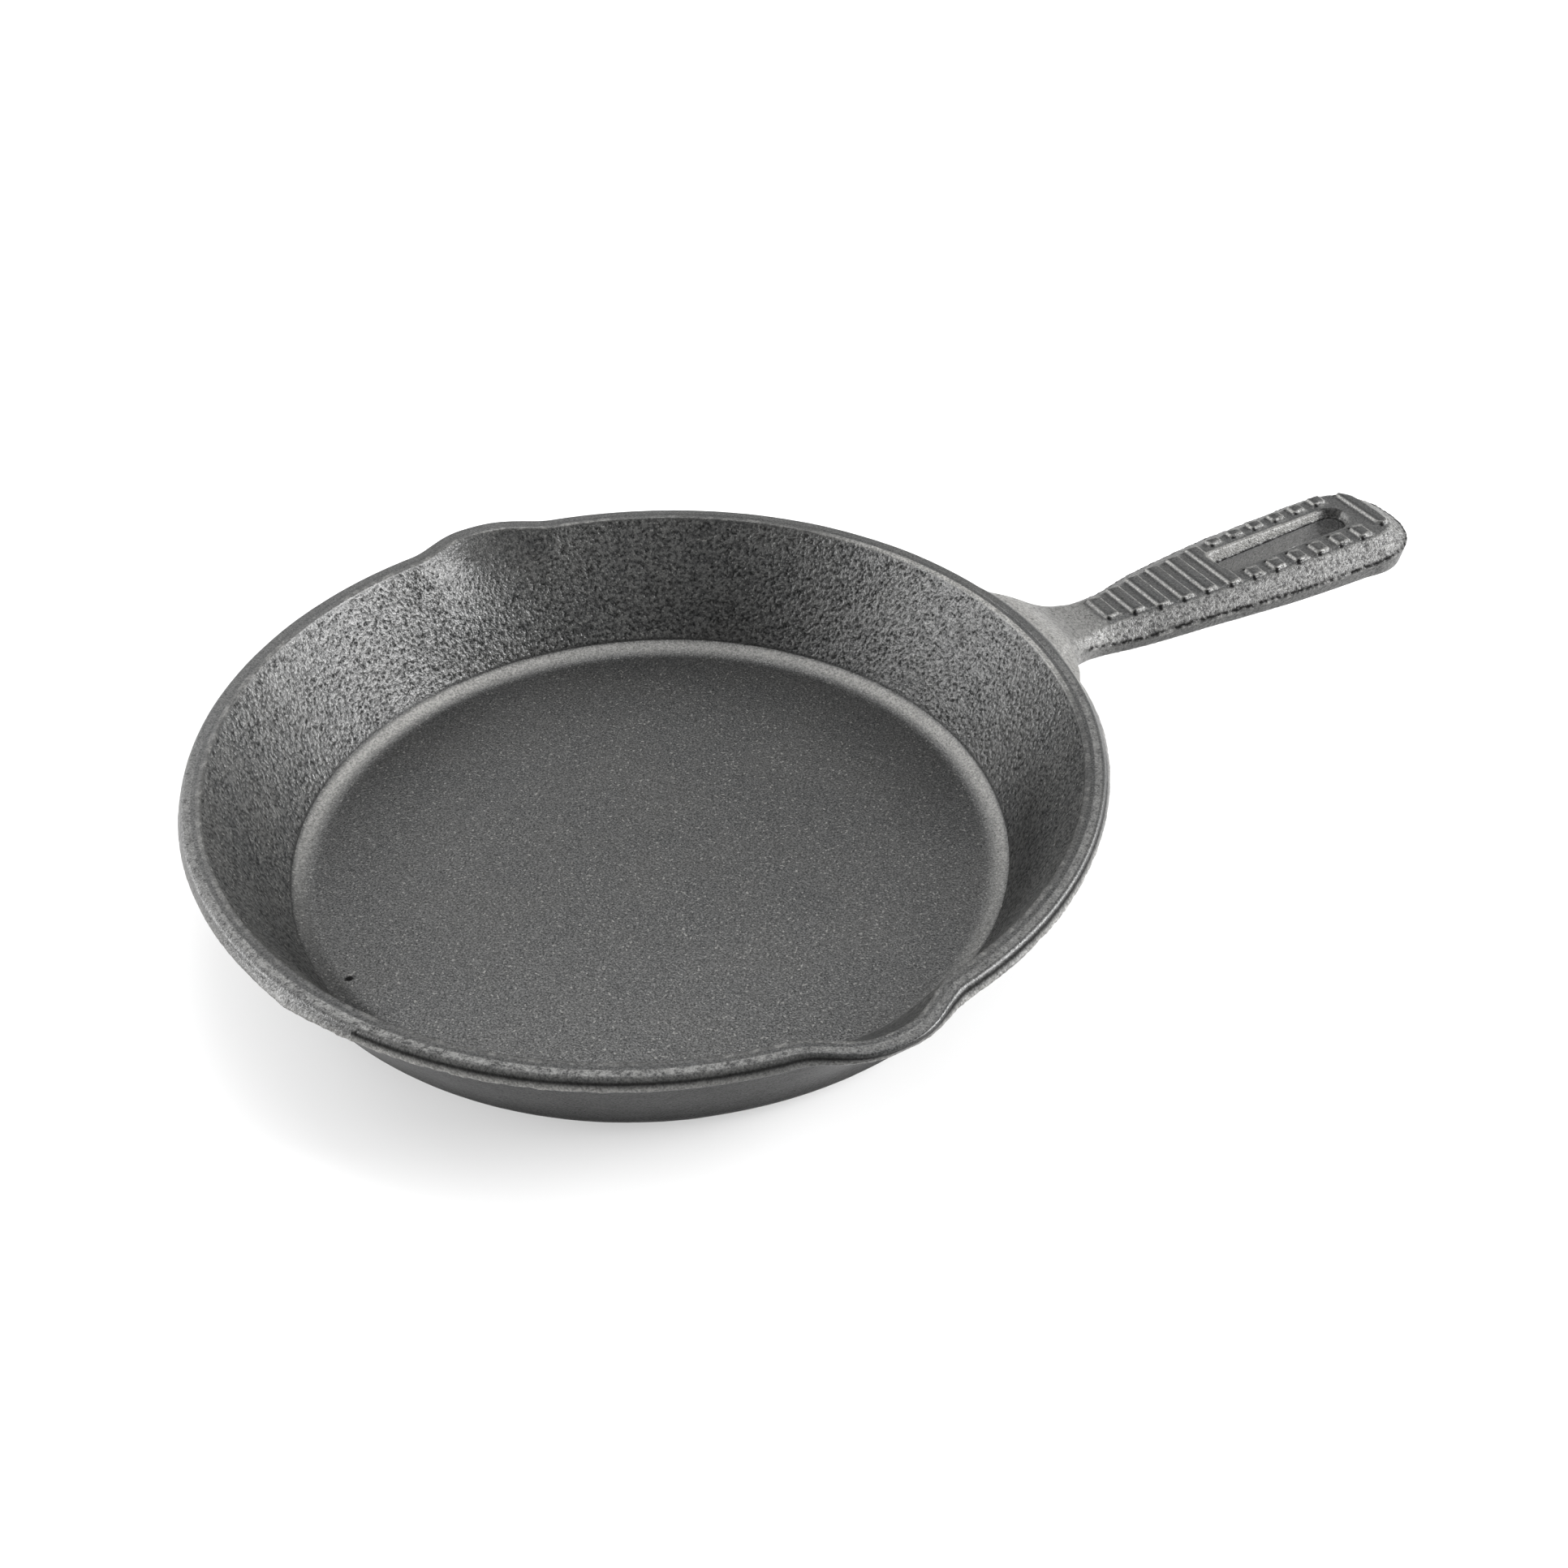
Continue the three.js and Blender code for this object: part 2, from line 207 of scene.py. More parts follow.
FINE = 0.30
corner = FLAT_R + CORNER_R * math.tan((math.pi / 2 - LEAN) / 2)
wall_r = lambda z: corner + z * math.tan(LEAN)
profile = rounded([
    (DISC_R, 0, 0, 0.9), (corner, 0, CORNER_R, 0.6), (wall_r(HEIGHT - 4.9), HEIGHT - 4.9, 2.2, 0.3),
    (LIP_R, HEIGHT - LIP_DROP, 0.5, 0.28), (RIM_R + 0.12, HEIGHT, 1.05, 0.3), (RIM_INNER_R, HEIGHT, 0.45, FINE),
    (FOOT_R, FOOT_Z, 0, 0.3)])
rho = ((FOOT_R - FLAT_R) ** 2 + (FOOT_Z - FLOOR_Z) ** 2) / (2 * (FOOT_Z - FLOOR_Z))
a_end = math.asin((FOOT_R - FLAT_R) / rho)
arc = [(FLAT_R + rho * math.sin(a), FLOOR_Z + rho * (1 - math.cos(a)))
       for a in np.concatenate([[a_end - 0.06 / rho], np.linspace(a_end, 0, 22)[1:]])]
flat = [(r, FLOOR_Z) for r in np.linspace(FLAT_R, DISC_R, 5)[1:]]
climb = np.array([RIM_INNER_R - FOOT_R, HEIGHT - FOOT_Z])
close = profile[-1] + climb / np.linalg.norm(climb) * 0.06      # keeps the inner corner crisp
profile = np.vstack([profile[:-1], close, profile[-1:], arc, flat])


def spout(r, theta, z):
    """How far the pouring lips push a point outwards and down. theta from the handle."""
    at = np.where(np.sin(theta) > 0, SPOUT_LEFT, SPOUT_RIGHT)
    off = np.abs(np.degrees(np.abs(np.arctan2(np.sin(theta), np.cos(theta)))) - at)
    bell = np.cos(np.clip(off / SPOUT_HALF, 0, 1) ** 1.25 * math.pi / 2) ** 2
    bell = np.where(r < FOOT_R - 0.01, 0, bell)
    down = np.clip((z - (HEIGHT - SPOUT_DEPTH)) / SPOUT_DEPTH, 0, 1) ** 2.3
    return SPOUT_OUT * bell * down, SPOUT_DIP * bell * smoothstep((z - (HEIGHT - 6)) / 6)


INNER_SLOPE = (RIM_INNER_R - FOOT_R) / (HEIGHT - FOOT_Z)
inner_r = lambda z: FOOT_R + (z - FOOT_Z) * INNER_SLOPE


def undulation(p):
    """The slow unevenness of a sand casting, in millimetres."""
    return 0.10 * noise(p, 34.0, 3) + 0.05 * noise(p, 13.0, 5)


def skin(p):
    """Fine unevenness of the outer skin, rim and handle."""
    return 0.018 * noise(p, 2.6, 11) + 0.010 * noise(p, 1.1, 12)


def pebbles(p):
    """The wrinkled grain of the inner wall: flat-topped, wormlike grains with narrow hollows, about -1 to 1."""
    q = p + 0.36 * np.stack([noise(p, 1.3, 51), noise(p, 1.3, 52), noise(p, 1.3, 53)], -1)
    return 0.80 * np.tanh(2.6 * noise(q, 0.80, 21) + 0.35) + 0.20 * noise(p, 0.6, 22) + 0.15 * noise(p, 3.4, 23)


def grit(p):
    """The coarser sand marks of the handle's sides, about -1 to 1."""
    return 0.75 * np.tanh(2.0 * noise(p, 0.85, 41)) + 0.35 * noise(p, 0.65, 42) + 0.30 * noise(p, 2.0, 46)


def flash(p):
    """Where the mould's parting edge was ground by hand: 0 to 1 round the pan."""
    th = np.degrees(np.arctan2(p[:, 1], p[:, 0]))
    w = np.zeros(len(p))
    for centre, half, level in ((-136, 26, 1.0), (-84, 14, 0.8), (-58, 14, 1.0), (-30, 12, 0.6), (128, 20, 0.5), (62, 12, 0.6)):
        d = np.abs((th - centre + 180) % 360 - 180)
        w = np.maximum(w, level * smoothstep(1.3 - d / half))
    return 0.3 + 0.7 * w


LIP_GROWTH = np.array([  # how far the parting edge stands out beyond LIP_R, by degrees from the handle
    [-180, 0.1], [-174, 0.3], [-167, 0.45], [-163, 0.7], [-159.5, 1.1], [-156, 0.6], [-150, 0.2], [-140, 0.1],
    [-96, 0.0], [-88, -0.25], [-84, 0.1], [-80, 0.45], [-75, 0.45], [-68, 0.3], [-60, 0.3], [-50, 0.15], [-35, 0.5], [-25, 1.0], [-20, 1.1], [-16, 1.1], [-8, 0.9], [0, 0.0], [180, 0.1]])


def lip_growth(p):
    """Radial growth of the rim's outer face at points p, in millimetres."""
    th = np.degrees(np.arctan2(p[..., 1], p[..., 0]))
    h = HEIGHT - LIP_DROP - p[..., 2]
    tall = np.where(h > 0, np.exp(-(h / 2.6) ** 2), np.exp(-(h / 1.5) ** 2))
    return np.interp(th, LIP_GROWTH[:, 0], LIP_GROWTH[:, 1]) * tall


def build_bowl():
    n, m = COLUMNS, len(profile)
    theta = np.arange(n) * 2 * math.pi / n
    r0, z0 = np.broadcast_to(profile[:, 0], (n, m)), np.broadcast_to(profile[:, 1], (n, m))
    th = np.broadcast_to(theta[:, None], (n, m))
    out, dip = spout(r0, th, z0)
    r, z = r0 + out, z0 - dip
    r = r + lip_growth(np.stack([np.cos(th), np.sin(th), z0], -1)) * (r0 > 97.5)
    p = np.stack([r * np.cos(th), r * np.sin(th), z], -1)
    du = np.roll(p, -1, 0) - np.roll(p, 1, 0)
    dv = np.gradient(p, axis=1)
    nrm = np.cross(du, dv)
    nrm /= np.linalg.norm(nrm, axis=-1, keepdims=True)
    p, nrm = p.reshape(-1, 3), nrm.reshape(-1, 3)
    if nrm[m // 5, 0] < 0:
        nrm = -nrm
    r0, z0 = r0.ravel(), z0.ravel()
    mid = inner_r(z0) + 2.0
    inside = (r0 < mid) & (z0 > FOOT_Z - 0.01)
    # pebbled grain of the inner wall
    g = smoothstep((z0 - FOOT_Z - 0.1) / 0.9) * smoothstep((HEIGHT - 0.2 - z0) / 1.0) * inside
    calm = spout(r0, th.ravel(), z0)[0] / SPOUT_OUT
    g = g * (1 - 0.65 * np.clip(calm * 1.6, 0, 1))
    d = np.zeros(len(p))
    on = g > 0
    d[on] = g[on] * 0.115 * pebbles(p[on])
    # everything else: slow unevenness and skin, none near the flat cuts
    away = smoothstep((r0 - FLAT_R - 1) / 4)
    d = d + away * (undulation(p) + (1 - g) * skin(p))
    # ground parting edge
    lip = np.exp(-((z0 - (HEIGHT - LIP_DROP)) / 0.55) ** 2) * (r0 > 98)
    face = smoothstep((z0 - (HEIGHT - 3.6)) / 0.8) * smoothstep((HEIGHT - 0.6 - z0) / 0.8) * (r0 > 98)
    fl = flash(p)
    d = d + lip * fl * (0.16 * noise(p * [1, 1, 0.4], 2.1, 31) + 0.12 * noise(p, 0.9, 32))
    d = d + face * fl * (0.07 * noise(p, 1.0, 33) + 0.04 * noise(p, 2.2, 34))
    p = p + nrm * d[:, None]
    j = np.arange(n)[:, None] * m
    jn = (np.roll(np.arange(n), -1))[:, None] * m
    k = np.arange(m)[None, :]
    kn = np.roll(np.arange(m), -1)[None, :]
    quads = np.stack([j + k, jn + k, jn + kn, j + kn], -1).reshape(-1, 4)
    return p, quads


# ---------------------------------------------------------------- 2-D distances
def polygon_distance(points, poly):
    """Distance of each point to a closed polygon, negative inside."""
    a, b = poly, np.roll(poly, -1, 0)
    out = np.empty(len(points), np.float32)
    for s in range(0, len(points), 20000):
        q = points[s:s + 20000, None, :]
        e = (b - a)[None]
        w = q - a[None]
        t = np.clip((w * e).sum(-1) / (e * e).sum(-1), 0, 1)
        d = w - e * t[..., None]
        dist = np.sqrt((d * d).sum(-1).min(1))
        y0, y1 = a[None, :, 1] > q[..., 1], b[None, :, 1] > q[..., 1]
        cross = (y0 != y1) & (q[..., 0] < (b[None, :, 0] - a[None, :, 0]) * (q[..., 1] - a[None, :, 1]) /
                              np.where(b[None, :, 1] == a[None, :, 1], 1e-9, b[None, :, 1] - a[None, :, 1]) + a[None, :, 0])
        out[s:s + 20000] = np.where(cross.sum(1) % 2 == 1, -dist, dist)
    return out


class Lookup:
    """Values on a regular 2-D grid, read between its points."""

    def __init__(self, u0, v0, h, values):
        self.u0, self.v0, self.h, self.v = u0, v0, h, values

    def __call__(self, u, v):
        a = np.clip((u - self.u0) / self.h, 0, self.v.shape[0] - 1.001)
        b = np.clip((v - self.v0) / self.h, 0, self.v.shape[1] - 1.001)
        i, j = a.astype(np.int32), b.astype(np.int32)
        a, b = a - i, b - j
        w = self.v
        return (w[i, j] * (1 - a) * (1 - b) + w[i + 1, j] * a * (1 - b) +
                w[i, j + 1] * (1 - a) * b + w[i + 1, j + 1] * a * b)


def make_lookups():
    # outline of the handle seen from above
    xs = np.concatenate([np.arange(80, TIP_START, 0.5), TIP_START + (TIP_X - TIP_START) * np.sin(np.linspace(0, math.pi / 2, 60))])
    u = np.clip((xs - TIP_START) / (TIP_X - TIP_START), 0, 1)
    w = half_width(np.minimum(xs, 198)) * np.power(np.maximum(0, 1 - np.power(u, TIP_POWER)), 1 / TIP_POWER)
    outline = np.vstack([np.stack([xs, w], -1), np.stack([xs, -w], -1)[::-1][1:]])
    h = 0.2
    gx, gy = np.arange(84, 218, h), np.arange(0, 48, h)
    pts = np.stack(np.meshgrid(gx, gy, indexing="ij"), -1).reshape(-1, 2)
    edge = Lookup(84, 0, h, polygon_distance(pts.astype(np.float32), outline.astype(np.float32)).reshape(len(gx), len(gy)))
    # section of the pan's wall, heights from the rim
    sec = profile.copy()
    sec[:, 1] -= HEIGHT
    h = 0.12
    gr, gz = np.arange(84, 130, h), np.arange(-18, 6, h)
    pts = np.stack(np.meshgrid(gr, gz, indexing="ij"), -1).reshape(-1, 2)
    wall = Lookup(84, -18, h, polygon_distance(pts.astype(np.float32), sec.astype(np.float32)).reshape(len(gr), len(gz)))
    return edge, wall


edge_distance, wall_distance = make_lookups()


def handle_heights(x, y):
    """Top, underside, distance to the outline and distance to the nearest rib, over the point (x, y)."""
    ay = np.abs(y)
    yo = y + 0.95 * smoothstep((x - 194) / 14)
    inside = -edge_distance(x, np.abs(yo) + np.where(yo > 0, far_trim(x), 0) * smoothstep(yo / 6))
    r = np.hypot(x, y)
    xr = x + (r - x) * (1 - smoothstep((x - 102) / 12))
    zg, zp, zb = groove(xr), parting(xr), under(xr)
    # crown of the smooth neck, none under the ribs
    slope = (zg - zp) / shoulder(x)
    top = smin(zg, zp + inside * slope, 0.9)
    # ribs
    k = np.round((x - RIB_START - RIB_WIDTH / 2) / RIB_PITCH)
    k = np.clip(k, 0, RIB_COUNT - 1)
    last = k == RIB_COUNT - 1
    wide = np.where(last, 3.4, RIB_WIDTH)
    xc = RIB_START + RIB_PITCH * k + wide / 2 + np.where(last, 1.1, 0)
    hl = rib_half(xc) + np.where(y > 0, 0.3, 0)
    split = (k >= 6) & ~last
    inner = np.where(split, np.where(y > 0, 7.35, 6.0), -50.0)
    cy = (hl + inner) / 2
    hy = (hl - inner) / 2
    cy, hy = np.where(split, cy, 0), np.where(split, hy, hl)
    c = np.where(last, 1.5, 0.55)
    qx, qy = np.abs(x - xc) - (wide / 2 - c), np.abs(ay - cy) - (hy - c)
    d = np.minimum(np.maximum(qx, qy), 0) + np.hypot(np.maximum(qx, 0), np.maximum(qy, 0)) - c
    # a short steep edge over a hollow fillet, and a top that falls a little towards the tip
    dx, dy = np.abs(x - xc) - wide / 2, np.abs(ay - cy) - hy
    quick = smoothstep((0.15 - d) / 0.27)
    fillet = smoothstep((1.45 - dx) / 1.65) * smoothstep((0.55 - dy) / 1.0)
    top = top + RIB_HEIGHT * (0.75 * quick + 0.25 * fillet) - 0.07 * quick * np.clip((x - xc) / (wide / 2), -1, 1)
    crown = 2.5 * smoothstep((190 - x) / 20) * smoothstep((x - 128) / 28) * (1 - np.clip(ay / 12.0, 0, 1) ** 2)
    bottom = smax(zb - crown, zp - inside * (3.5 + 1.5 * smoothstep((x - 194) / 10)), 1.4)
    return top, bottom, inside, (d, (x - xc) / wide, dy, y, last)


def waist(x):
    """Height of the slot's own parting line, from the rim."""
    return -5.35 + (x - 180) * 0.07


def slot_distance(x, y, z):
    """Distance to the slot's wall, negative in the slot. z from the rim."""
    zw = waist(x)
    up, down = np.maximum(z - zw, 0), np.maximum(zw - z, 0)
    far = 3.95 + up * 0.43 + down * 0.20
    near = 3.85 + up * 0.10 + down * 0.15
    x0, x1 = SLOT_X0 + 1.2 - up * 0.30 - down * 0.1, SLOT_X1 - 1.9 + up * 0.48 + down * 0.1
    c = 2.6 + 1.9 * smoothstep((x - 184) / 8) * np.where(y > 1.0, 0.55, 1.0)
    cx, hx = (x0 + x1) / 2, (x1 - x0) / 2
    cy, hy = (far - near) / 2, (far + near) / 2
    qx, qy = np.abs(x - cx) - (hx - c), np.abs(y - cy) - (hy - c)
    return np.minimum(np.maximum(qx, qy), 0) + np.hypot(np.maximum(qx, 0), np.maximum(qy, 0)) - c


def handle_field(x, y, z):
    """Negative inside the handle, neck and the part of the wall that they grow from."""
    top, bottom, inside, _ = handle_heights(x, y)
    steep = 0.8
    f = smax((z - top) * steep, (bottom - z) * 0.9, 0.35)
    f = smax(f, -inside * 0.95, 0.3)
    s = slot_distance(x, y, z)
    f = smax(f, -s, 0.45)
    near = x < 125
    if np.any(near):
        fx, fy, fz = np.broadcast_to(x, f.shape)[near], np.broadcast_to(y, f.shape)[near], np.broadcast_to(z, f.shape)[near]
        r = np.hypot(fx, fy)
        keep = 0.03 + 0.6 * smoothstep((np.abs(fy) - 30) / 8) + 0.7 * smoothstep((-13.5 - fz) / 4.5)
        at = np.stack([fx, fy, fz + HEIGHT], -1)
        b = wall_distance(r, fz) + keep - lip_growth(at)
        k = 1.2 + np.where(fy < 0, 7.0, 4.6) * smoothstep((-1.6 - fz) / 2.5)
        g = smin(f[near], b, k)
        mid = inner_r(fz + HEIGHT) + 2.0
        g = np.maximum(g, mid - r)
        # closed inside the wall's thickness
        g = np.maximum(np.maximum(g, np.abs(fy) - 40), np.maximum(91.6 - fx, -18.6 - fz))
        f = f.copy()
        f[near] = g
    return f


def surface_net(field, lo, hi, h):
    n = np.ceil((np.array(hi) - np.array(lo)) / h).astype(int) + 1
    ax = [lo[i] + h * np.arange(n[i]) for i in range(3)]
    f = np.empty(tuple(n), np.float32)
    for i in range(0, n[0], 24):
        x, y, z = np.meshgrid(ax[0][i:i + 24], ax[1], ax[2], indexing="ij")
        f[i:i + 24] = field(x, y, z)
    s = f < 0
    c = np.zeros(tuple(n - 1), np.int8)
    for dx in (0, 1):
        for dy in (0, 1):
            for dz in (0, 1):
                c += s[dx:n[0] - 1 + dx, dy:n[1] - 1 + dy, dz:n[2] - 1 + dz]
    act = np.argwhere((c > 0) & (c < 8))
    ids = np.full(tuple(n - 1), -1, np.int32)
    ids[act[:, 0], act[:, 1], act[:, 2]] = np.arange(len(act))
    pos, cnt = np.zeros((len(act), 3)), np.zeros(len(act))
    corners = [(a, b, d) for a in (0, 1) for b in (0, 1) for d in (0, 1)]
    for p in corners:
        for axis in range(3):
            if p[axis]:
                continue
            q = list(p)
            q[axis] = 1
            va = f[act[:, 0] + p[0], act[:, 1] + p[1], act[:, 2] + p[2]]
            vb = f[act[:, 0] + q[0], act[:, 1] + q[1], act[:, 2] + q[2]]
            hit = (va < 0) != (vb < 0)
            t = va[hit] / (va[hit] - vb[hit])
            off = np.array(p, float)[None].repeat(hit.sum(), 0)
            off[:, axis] += t
            pos[hit] += off
            cnt[hit] += 1
    pos = (act + pos / cnt[:, None]) * h + np.array(lo)
    quads = []
    for axis in range(3):
        u, v = (axis + 1) % 3, (axis + 2) % 3
        a = np.take(s, np.arange(n[axis] - 1), axis)
        b = np.take(s, np.arange(1, n[axis]), axis)
        e = np.argwhere(a != b)
        e = e[(e[:, u] > 0) & (e[:, v] > 0) & (e[:, u] < n[u] - 1) & (e[:, v] < n[v] - 1)]
        flip = a[e[:, 0], e[:, 1], e[:, 2]]
        ring = []
        for du, dv in ((1, 1), (0, 1), (0, 0), (1, 0)):
            q = e.copy()
            q[:, u] -= du
            q[:, v] -= dv
            ring.append(ids[q[:, 0], q[:, 1], q[:, 2]])
        ring = np.stack(ring, -1)
        ring = np.where(flip[:, None], ring, ring[:, ::-1])
        quads.append(ring)
    quads = np.vstack(quads)
    return pos, quads


def gradient(field, p, e=0.03):
    g = np.empty_like(p)
    for a in range(3):
        d = np.zeros(3)
        d[a] = e
        hi, lo = p + d, p - d
        g[:, a] = (field(hi[:, 0], hi[:, 1], hi[:, 2]) - field(lo[:, 0], lo[:, 1], lo[:, 2])) / (2 * e)
    return g


def build_handle():
    p, quads = surface_net(handle_field, (91.0, -41.0, -19.2), (214.6, 41.0, 1.4), NET)
    for _ in range(4):
        f = handle_field(p[:, 0], p[:, 1], p[:, 2])
        g = gradient(handle_field, p)
        gg = np.maximum((g * g).sum(-1), 0.2)
        step = np.clip(f / gg, -0.25, 0.25)
        p = p - g * step[:, None]
    nrm = gradient(handle_field, p)
    nrm /= np.maximum(np.linalg.norm(nrm, axis=-1, keepdims=True), 1e-6)
    q = p + [0, 0, HEIGHT]
    top, bottom, inside, ribs = handle_heights(p[:, 0], p[:, 1])
    ribs, end = ribs[0], ribs[2]
    onto = smoothstep((p[:, 0] - 101) / 6)
    zp = parting(p[:, 0])
    outer = smoothstep((1.2 - (inside - 0.0)) / 1.2)
    sand = onto * smoothstep((shoulder(p[:, 0]) + 0.2 - inside) / 0.8) * (p[:, 2] > zp - 3.5)
    d = undulation(q) + skin(q)
    d = d + sand * 0.055 * grit(q)
    high = (p[:, 2] > groove(p[:, 0]) - 0.1) * onto
    d = d + high * np.exp(-(ribs / 0.35) ** 2) * (0.05 * noise(q, 1.3, 48) + 0.03 * noise(q, 0.7, 49))
    d = d + high * np.exp(-((end - 0.3) / 0.7) ** 2) * (ribs < 0.9) * (0.12 + 0.20 * noise(q, 1.2, 50))
    line = np.exp(-((p[:, 2] - zp) / 0.35) ** 2) * outer * onto
    d = d + line * (0.10 + 0.16 * noise(q, 0.8, 43) + 0.10 * noise(q, 3.0, 44))
    s = slot_distance(p[:, 0], p[:, 1], p[:, 2])
    seam = np.exp(-((p[:, 2] - waist(p[:, 0])) / 0.3) ** 2) * (np.abs(s) < 0.8)
    d = d + seam * (0.08 + 0.14 * noise(q, 0.8, 45))
    d = np.where(np.abs(p[:, 1]) > 39.5, 0, d)
    return q + nrm * d[:, None], quads


# ------------------------------------------------------------------ mesh making
def make_mesh(name, verts_mm, faces):
    me = bpy.data.meshes.new(name)
    v = np.asarray(verts_mm, np.float32) * 0.001
    faces = np.asarray(faces, np.int32)
    k = faces.shape[1]
    me.vertices.add(len(v))
    me.vertices.foreach_set("co", v.ravel())
    me.loops.add(faces.size)
    me.loops.foreach_set("vertex_index", faces.ravel())
    me.polygons.add(len(faces))
    me.polygons.foreach_set("loop_start", np.arange(0, faces.size, k, dtype=np.int32))
    me.update(calc_edges=True)
    me.validate()
    ob = bpy.data.objects.new(name, me)
    bpy.context.scene.collection.objects.link(ob)
    return ob


def volume(p, faces):
    a, b, c, d = (p[faces[:, i]] for i in range(4))
    return (np.einsum("ij,ij->i", a, np.cross(b, c)).sum() + np.einsum("ij,ij->i", a, np.cross(c, d)).sum()) / 6


def combine(target, other, how, name):
    m = target.modifiers.new("b", "BOOLEAN")
    m.operation, m.object, m.solver = how, other, "MANIFOLD"
    bpy.context.view_layer.update()
    dg = bpy.context.evaluated_depsgraph_get()
    me = bpy.data.meshes.new_from_object(target.evaluated_get(dg), depsgraph=dg)
    target.modifiers.remove(m)
    ob = bpy.data.objects.new(name, me)
    bpy.context.scene.collection.objects.link(ob)
    return ob


def drop(*obs):
    for o in obs:
        me = o.data
        bpy.data.objects.remove(o)
        bpy.data.meshes.remove(me)


def block(name, lo, hi):
    v = [(x, y, z) for x in (lo[0], hi[0]) for y in (lo[1], hi[1]) for z in (lo[2], hi[2])]
    f = [(0, 1, 3, 2), (4, 6, 7, 5), (0, 4, 5, 1), (2, 3, 7, 6), (0, 2, 6, 4), (1, 5, 7, 3)]
    return make_mesh(name, v, f)


bp, bq = build_bowl()
if volume(bp, bq) < 0:
    bq = bq[:, ::-1]
bowl = make_mesh("bowl_raw", bp, bq)
hp, hq = build_handle()
if volume(hp, hq) < 0:
    hq = hq[:, ::-1]
grip = make_mesh("handle_raw", hp, hq)
beyond = block("beyond", (CUT_X, -80, -40), (300, 80, 90))
root = combine(grip, beyond, "DIFFERENCE", "root_raw")
handle = combine(grip, beyond, "INTERSECT", "skillet_handle")
wall = combine(bowl, root, "UNION", "skillet_side_wall")
print("joined", len(wall.data.polygons), len(handle.data.polygons))
drop(bowl, grip, root, beyond)


def build_disc():
    n = 512
    rr = np.concatenate([np.linspace(0, 1, 49)[1:] * DISC_R])
    th = np.arange(n) * 2 * math.pi / n
    # the rim of the disc has the wall piece's columns only roughly; both are flat there
    v, f3 = [], []
    top = np.stack([np.outer(rr, np.cos(th)), np.outer(rr, np.sin(th)), np.full((len(rr), n), FLOOR_Z)], -1).reshape(-1, 3)
    bot = top.copy()
    bot[:, 2] = 0
    verts = np.vstack([top, bot, [[0, 0, FLOOR_Z]], [[0, 0, 0]]])
    m = len(rr)
    quads = []
    j = np.arange(n)
    jn = (j + 1) % n
    for i in range(m - 1):
        quads.append(np.stack([i * n + j, (i + 1) * n + j, (i + 1) * n + jn, i * n + jn], -1))
        o = m * n
        quads.append(np.stack([o + i * n + j, o + i * n + jn, o + (i + 1) * n + jn, o + (i + 1) * n + j], -1))
    a, b = (m - 1) * n, m * n + (m - 1) * n
    quads.append(np.stack([a + j, b + j, b + jn, a + jn], -1))
    quads = np.vstack(quads)
    return verts, quads, n, m


dv, dq, dn, dm = build_disc()
me_faces = [tuple(q) for q in dq.tolist()]
ct, cb = len(dv) - 2, len(dv) - 1
for j in range(dn):
    me_faces.append((ct, j, (j + 1) % dn))
    me_faces.append((cb, dm * dn + (j + 1) % dn, dm * dn + j))
dme = bpy.data.meshes.new("skillet_cooking_floor")
dme.from_pydata((dv * 0.001).tolist(), [], me_faces)
dme.update()
disc = bpy.data.objects.new("skillet_cooking_floor", dme)
bpy.context.scene.collection.objects.link(disc)


def shade(ob, flat_test):
    """Smooth shading, with the hidden cut faces flat and their borders sharp."""
    me = ob.data
    n = len(me.polygons)
    centre = np.empty(n * 3, np.float32)
    normal = np.empty(n * 3, np.float32)
    me.polygons.foreach_get("center", centre)
    me.polygons.foreach_get("normal", normal)
    cap = flat_test(centre.reshape(-1, 3) * 1000, normal.reshape(-1, 3))
    me.polygons.foreach_set("use_smooth", ~cap)
    total = np.empty(n, np.int32)
    me.polygons.foreach_get("loop_total", total)
    edges = np.empty(len(me.loops), np.int32)
    me.loops.foreach_get("edge_index", edges)
    owner = np.repeat(np.arange(n), total)
    a = np.zeros(len(me.edges), bool)
    b = np.zeros(len(me.edges), bool)
    a[edges[cap[owner]]] = True
    b[edges[~cap[owner]]] = True
    sharp = a & b
    me.edges.foreach_set("use_edge_sharp", sharp)
    me.update()
    return int(cap.sum())


shade(wall, lambda c, n: ((np.abs(c[:, 0] - CUT_X) < 1e-3) & (n[:, 0] > 0.99)) |
      ((np.abs(np.hypot(c[:, 0], c[:, 1]) - DISC_R) < 0.02) & (np.abs(n[:, 2]) < 0.1)))
shade(handle, lambda c, n: (np.abs(c[:, 0] - CUT_X) < 1e-3) & (n[:, 0] < -0.99))
shade(disc, lambda c, n: np.abs(n[:, 2]) < 0.1)

# ------------------------------------------------------- what each spot is like
def band(v, centre, half):
    return np.exp(-((v - centre) / half) ** 2)


